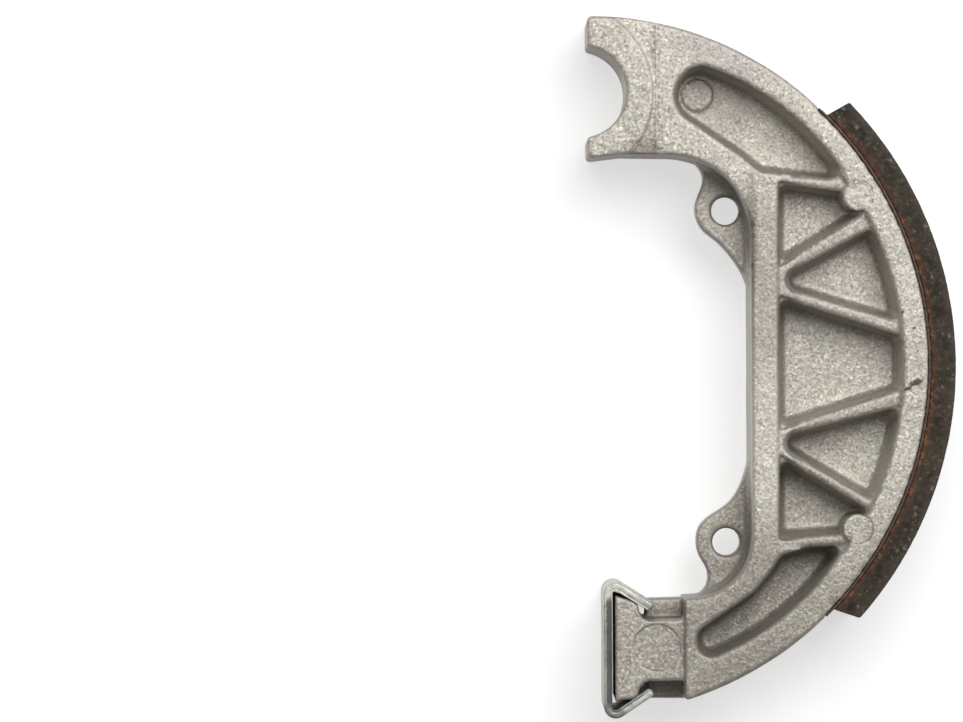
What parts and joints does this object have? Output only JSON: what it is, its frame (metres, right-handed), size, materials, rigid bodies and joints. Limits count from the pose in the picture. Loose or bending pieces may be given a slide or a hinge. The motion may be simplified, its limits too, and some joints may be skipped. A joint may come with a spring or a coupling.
{
  "type": "brake shoe",
  "caption": "Cast brake shoe, half-ring with a bonded friction lining, a forked anchor end, spring lugs and a clip over its cam end, for a small drum brake.",
  "frame": {"origin": "axis of the anchor pin, at the middle of the shoe's width", "axes": "+Z along the anchor pin, across the shoe's width; +Y along the beam, from the cam end towards the fork; +X from the wheel's centre towards the middle of the lining. The drum's axis runs along Z through (-0.00065, -0.0397, 0)."},
  "size_m": [0.0533, 0.1018, 0.025],
  "materials": {
    "cast_aluminium": "shot-blasted die casting, fine grain, satin",
    "friction_lining": "moulded friction material, matt, with pale fibres and brass specks",
    "bonding_adhesive": "cured red-brown bonding adhesive, slightly glossy",
    "plated_steel": "zinc-plated spring steel, smooth, with bare sheared edges"
  },
  "bodies": {
    "root": {"shoe_body": "cast_aluminium", "lining": "friction_lining", "bond_film": "bonding_adhesive", "cam_clip": "plated_steel"}
  },
  "joints": []
}
